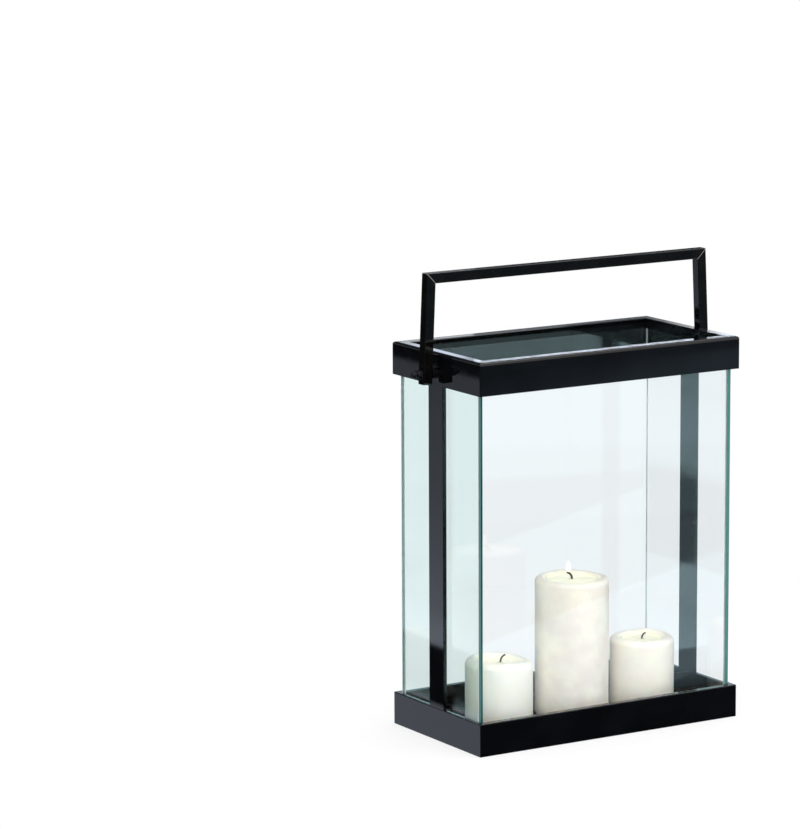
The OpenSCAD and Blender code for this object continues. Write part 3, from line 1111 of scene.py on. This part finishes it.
@dataclass(frozen=True)
class Lamp:
    """A soft square lamp, in metres; unless it is in gloss, it casts light and no reflection."""

    name: str
    place: Triple
    size: float
    watts: float
    in_gloss: bool = False

    def build(self) -> None:
        """Makes the lamp."""
        data = bpy.data.lights.new(self.name, "AREA")
        data.shape = "SQUARE"
        data.size = self.size
        data.energy = self.watts
        lamp = bpy.data.objects.new(self.name, data)
        lamp.location = self.place
        lamp.visible_glossy = self.in_gloss
        aim = Vector(LAMP_AIM) - Vector(self.place)
        lamp.rotation_euler = aim.to_track_quat("-Z", "Y").to_euler()
        bpy.context.scene.collection.objects.link(lamp)


# Boards on the floor in front, nearest first: white to dim, with edges that lie askew.
BOARDS = (Board((-0.448, -0.894), 0.367, 0.003, 0.35, 0.95),
          Board((-0.478, -0.878), 0.598, 0.004, 0.03, 0.4),
          Board((0.267, -0.964), 1.349, 0.02, 0.4, 0.8),
          Board((0.477, -0.879), 1.587, 0.04, 0.85, 0.9))
# The dim room beyond the boards, as metres and tones along ROOM_WAY.
ROOM_WAY = (-0.422, -0.906, 0.0)
ROOM = ((0.0, 0.45), (1.085, 0.45), (1.18, 0.24), (1.28, 0.14), (1.5, 0.17), (2.2, 0.22))
# The floor beside the lantern, as metres leftward and tones: light, with a dark band near and far.
BESIDE = ((0.0, 0.88), (0.222, 0.88), (0.229, 0.02), (0.355, 0.02), (0.365, 1.45), (0.4, 1.4), (0.43, 1.2),
          (0.46, 1.05), (0.5, 1.02), (0.64, 0.78), (0.74, 0.67), (0.85, 0.59), (1.0, 0.53), (1.16, 0.45),
          (1.29, 0.44), (1.31, 0.02), (1.6, 0.02))
# The same floor as seen through a pane, from THROUGH_START to the right of the middle.
THROUGH_START = 0.1
THROUGH = ((0.0, 0.3), (0.03, 0.5), (0.08, 0.85), (0.14, 0.78), (0.2, 0.6), (0.25, 0.72), (0.33, 0.68),
           (0.345, 0.1), (0.45, 0.07), (0.59, 0.03), (0.63, 0.03), (0.66, 0.4), (0.7, 0.66), (0.84, 0.66),
           (0.93, 0.62), (1.02, 0.44))
# Upright cards, lowest first: dark, then lit walls and a bright strip, dark flags, white, and dim on top.
LEFT, SPLIT, RIGHT = -8.0, 3.7, 12.0
FAR_CARDS = (FarCard("far_floor", LEFT, RIGHT, 0.0, 1.494, 0.02),
             FarCard("far_left", LEFT, SPLIT, 1.51, 1.572, 2.0),
             FarCard("far_back", SPLIT, RIGHT, 1.494, 1.53, 0.35),
             FarCard("far_strip", SPLIT, RIGHT, 1.574, 1.5797, 7.5),
             FarCard("flag_left", LEFT, SPLIT, 1.572, 1.74, 0.08),
             FarCard("flag", SPLIT, RIGHT, 1.5803, 1.74, 0.08),
             FarCard("far_white", LEFT, RIGHT, 1.74, 2.3, 0.95),
             FarCard("far_dark", LEFT, RIGHT, 2.3, 7.0, 0.12))
# A key from the right front, a lamp overhead and a low fill from the left front, aimed at LAMP_AIM.
LAMP_AIM = (0.0, 0.0, 0.15)
LAMPS = (Lamp("key", (1.5, -2.4, 1.6), 1.3, 17.0),
         Lamp("top", (0.5, -0.2, 2.3), 1.4, 11.0, in_gloss=True),
         Lamp("fill", (-1.7, -2.3, 0.75), 1.2, 30.0))


@dataclass
class Studio:
    """White sweep, even room light, soft lamps, and cards that only gloss and glass mirror.

    Lengths in metres. A card's tone is its brightness, where 1 is white. Pairs are the start and the end
    of a soft edge; slant is the direction in which the side boards' light ends behind the lantern.
    """

    room_light: float = 1.0
    floor_half: float = 7.0
    floor_z: float = -0.3 * MM
    paper: str = "#e6e6e6"
    faint: str = "#808080"
    lift: float = 0.76
    paper_reach: Pair = (0.36, 0.6)
    card_z: float = -0.1 * MM
    split_y: float = -0.079
    far_y: float = 6.0
    pane_gap: float = 0.144
    first: float = 1.15
    first_through: float = 0.45
    tray_reach: Pair = (0.19, 0.26)
    tray_shade: float = 0.04
    room_from: Pair = (1.7, 1.74)
    dusk_from: Pair = (1.9, 1.94)
    dusk: float = 0.16
    slant: Pair = (1.64, 1.0)
    slant_edge: Pair = (0.05, 0.15)
    dark: float = 0.02
    sky_hue: str = "#c8e6ff"
    wall_hue: str = "#e2edff"
    glass_hue: str = "#d8faff"

    def build_world(self) -> None:
        """Room: plain even light, which is white where the camera, gloss or glass looks past the object."""
        world = bpy.data.worlds.new("studio")
        world.use_nodes = True
        bpy.context.scene.world = world
        tree = world.node_tree
        tree.nodes.clear()
        back = add_node(tree, "ShaderNodeBackground", {}, {"Color": WHITE, "Strength": self.room_light})
        add_node(tree, "ShaderNodeOutputWorld", {}, {0: back.outputs[0]})

    def build_floor(self) -> None:
        """White sweep that shows white to camera, gloss and glass, and keeps the object's shadow."""
        half, z = self.floor_half, self.floor_z
        floor = sheet("sweep", (-half, -half, z), (half, half, z))
        material, tree = new_material("white_sweep")
        place = add_node(tree, "ShaderNodeTexCoord").outputs["Object"]
        reach = add_node(tree, "ShaderNodeVectorMath", {"operation": "LENGTH"}, {0: place}).outputs["Value"]
        far = add_node(tree, "ShaderNodeMapRange", {},
                       {0: reach, 1: self.paper_reach[0], 2: self.paper_reach[1]}).outputs[0]
        paper = add_node(tree, "ShaderNodeBsdfDiffuse", {}, {"Color": linear(self.paper)}).outputs[0]
        faint = add_node(tree, "ShaderNodeBsdfDiffuse", {}, {"Color": linear(self.faint)}).outputs[0]
        lift = add_node(tree, "ShaderNodeEmission", {}, {"Color": WHITE, "Strength": self.lift}).outputs[0]
        near = add_node(tree, "ShaderNodeAddShader", {}, {0: faint, 1: lift}).outputs[0]
        white = add_node(tree, "ShaderNodeEmission", {}, {"Color": WHITE, "Strength": 1.0}).outputs[0]
        seen = add_node(tree, "ShaderNodeMixShader", {}, {0: far, 1: near, 2: white}).outputs[0]
        shown = add_node(tree, "ShaderNodeMixShader", {}, {0: from_lens(tree), 1: paper, 2: seen}).outputs[0]
        dress(floor, surfaced(material, shown))

    def dress_card(self, piece: Object, hue: str, tone: Callable[[Tree, Socket], Socket] | float) -> None:
        """Makes a sheet a card that only gloss and glass mirror.

        Args:
            piece: The sheet.
            hue: Its colour.
            tone: Its brightness, or a function that makes a brightness socket from Object coordinates.
        """
        material, tree = new_material(piece.name)
        value: Socket | float
        if isinstance(tone, float):
            value = tone
        else:
            value = tone(tree, add_node(tree, "ShaderNodeTexCoord").outputs["Object"])
        colour = add_node(tree, "ShaderNodeMix", {"data_type": "RGBA"},
                          {0: behind_glass(tree), 6: linear(hue), 7: linear(self.glass_hue)}).outputs[2]
        glow = add_node(tree, "ShaderNodeEmission", {}, {"Color": colour, "Strength": value}).outputs[0]
        clear = add_node(tree, "ShaderNodeBsdfTransparent").outputs[0]
        shown = add_node(tree, "ShaderNodeMixShader", {}, {0: mirrored(tree), 1: clear, 2: glow}).outputs[0]
        dress(piece, surfaced(material, shown))
        piece.visible_camera = False
        piece.visible_diffuse = False
        piece.visible_shadow = False
        piece.visible_volume_scatter = False

    def front_tone(self, tree: Tree, place: Socket) -> Socket:
        """Boards in front: dark by the tray, then white and grey ones whose edges lie askew, then a dim room.

        Args:
            tree: The card's tree.
            place: Object coordinates.

        Returns:
            The tone's socket.
        """
        boards: Socket | float = self.first
        through: Socket | float = self.first_through
        for board in BOARDS:
            low, high = board.edge - board.soft, board.edge + board.soft
            boards = past_line(tree, place, board.way, (low, high), boards, board.seen)
            # The far pane lies pane_gap further back, so it mirrors the floor nearer by twice that.
            shift = board.way[1] * self.pane_gap * 2
            through = past_line(tree, place, board.way, (low + shift, high + shift), through, board.through)
        along = add_node(tree, "ShaderNodeVectorMath", {"operation": "DOT_PRODUCT"},
                         {0: place, 1: ROOM_WAY}).outputs["Value"]
        ahead = (0.0, -1.0)
        seen = past_line(tree, place, ahead, self.room_from, boards, stepped(tree, along, ROOM))
        seen = past_line(tree, place, ahead, self.dusk_from, seen, self.dusk)
        seen = past_line(tree, place, ahead, self.tray_reach, self.tray_shade, seen)
        return add_node(tree, "ShaderNodeMix", {"data_type": "FLOAT"},
                        {0: behind_glass(tree), 2: seen, 3: through}).outputs[0]

    def side_tone(self, tree: Tree, place: Socket) -> Socket:
        """Floor beside and behind: light near the lantern, with dark bands, and dark far away.

        Args:
            tree: The card's tree.
            place: Object coordinates.

        Returns:
            The tone's socket.
        """
        left = add_node(tree, "ShaderNodeVectorMath", {"operation": "DOT_PRODUCT"},
                        {0: place, 1: (-1.0, 0.0, 0.0)}).outputs["Value"]
        seen = past_line(tree, place, self.slant, self.slant_edge, stepped(tree, left, BESIDE), self.dark)
        further = add_node(tree, "ShaderNodeMath", {"operation": "ADD"},
                           {0: left, 1: THROUGH_START}).outputs[0]
        return add_node(tree, "ShaderNodeMix", {"data_type": "FLOAT"},
                        {0: behind_glass(tree), 2: seen, 3: stepped(tree, further, THROUGH)}).outputs[0]

    def build_cards(self) -> None:
        """Cards on the floor round the object, and upright ones far behind it that flat tops mirror."""
        half, edge, low = self.floor_half, self.split_y, self.card_z
        self.dress_card(sheet("front_boards", (-half, -half, low), (half, edge, low)),
                        self.sky_hue, self.front_tone)
        self.dress_card(sheet("side_boards", (-half, edge, low), (half, half, low)),
                        self.wall_hue, self.side_tone)
        for card in FAR_CARDS:
            upright = sheet(card.name, (card.x_low, self.far_y, card.z_low),
                            (card.x_high, self.far_y, card.z_high))
            self.dress_card(upright, self.wall_hue, card.tone)

    def build(self) -> None:
        """Builds room, floor, cards and lamps, and sets the plain view."""
        self.build_world()
        self.build_floor()
        self.build_cards()
        for lamp in LAMPS:
            lamp.build()
        bpy.context.scene.view_settings.view_transform = "Standard"


def main() -> None:
    """Builds the lantern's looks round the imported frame."""
    logging.basicConfig(level=logging.INFO, format="%(name)s: %(message)s")
    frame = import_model()
    nodes = frame["nodes"]
    Viewpoint().build()
    Studio().build()
    Casing(nodes).dress()
    GlassBox(nodes).dress()
    BailHandle(nodes).build()
    cotton = CharredCotton().build()
    # The side colours are painted shade: the same wax is darker on the middle candle, and a little on the
    # right one, to even out the light each gets.
    PillarCandle("middle", "candle_middle_body", math.pi, shoulder=5.0, wear=2.0, seed=1.7,
                 pool_depth=3.0, wick_rise=6.9, wick_r=1.15, side="#e9e1d8", lit=True).build(cotton)
    PillarCandle("left", "candle_left_body", 0.0, shoulder=7.5, wear=1.5, seed=4.1,
                 pool_depth=5.2, wick_rise=6.6, slump=3.5).build(cotton)
    PillarCandle("right", "candle_right_body", 0.0, shoulder=6.5, wear=2.5, seed=8.3,
                 pool_depth=4.8, wick_rise=5.2, side="#f2ebe1").build(cotton)


if __name__ == "__main__":
    main()
